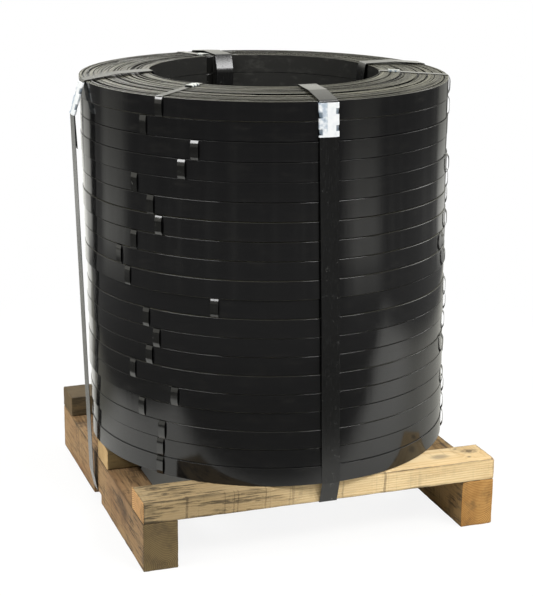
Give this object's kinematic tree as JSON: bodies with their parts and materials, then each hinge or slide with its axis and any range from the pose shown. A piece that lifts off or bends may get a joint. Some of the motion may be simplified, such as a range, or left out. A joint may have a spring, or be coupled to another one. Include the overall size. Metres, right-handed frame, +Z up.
{
  "type": "steel strapping coil stack",
  "caption": "Stack of ribbon-wound coils of black steel strapping on a small wooden pallet, held down by sealed binding straps.",
  "frame": {"origin": "on the floor, under the top coil's axis and midway between the binding straps' outermost points", "axes": "+Z up along the bores, -Y towards the front deck board, X along the deck boards"},
  "size_m": [0.6912, 0.6603, 0.7822],
  "materials": {
    "coil_steel": "black painted and waxed steel strapping, semi-gloss",
    "strap_black": "black painted and waxed steel strap, semi-gloss",
    "seal_zinc": "galvanised steel",
    "deck_pine": "rough sawn softwood",
    "bearer_pine": "rough sawn softwood, weathered"
  },
  "bodies": {
    "root": {"coil_01": "coil_steel", "coil_02": "coil_steel", "coil_03": "coil_steel", "coil_04": "coil_steel", "coil_05": "coil_steel", "coil_06": "coil_steel", "coil_07": "coil_steel", "coil_08": "coil_steel", "coil_09": "coil_steel", "coil_10": "coil_steel", "coil_11": "coil_steel", "coil_12": "coil_steel", "coil_13": "coil_steel", "coil_14": "coil_steel", "coil_15": "coil_steel", "coil_16": "coil_steel", "coil_17": "coil_steel", "coil_18": "coil_steel", "coil_19": "coil_steel", "coil_20": "coil_steel", "binding_strap_front": "strap_black", "binding_strap_back": "strap_black", "binding_strap_left": "strap_black", "binding_strap_right": "strap_black", "strap_seal_front": "seal_zinc", "strap_seal_back": "seal_zinc", "strap_seal_left": "seal_zinc", "strap_seal_right": "seal_zinc", "deck_board_front": "deck_pine", "deck_board_middle": "deck_pine", "deck_board_back": "deck_pine", "bearer_left": "bearer_pine", "bearer_right": "bearer_pine"}
  },
  "joints": []
}
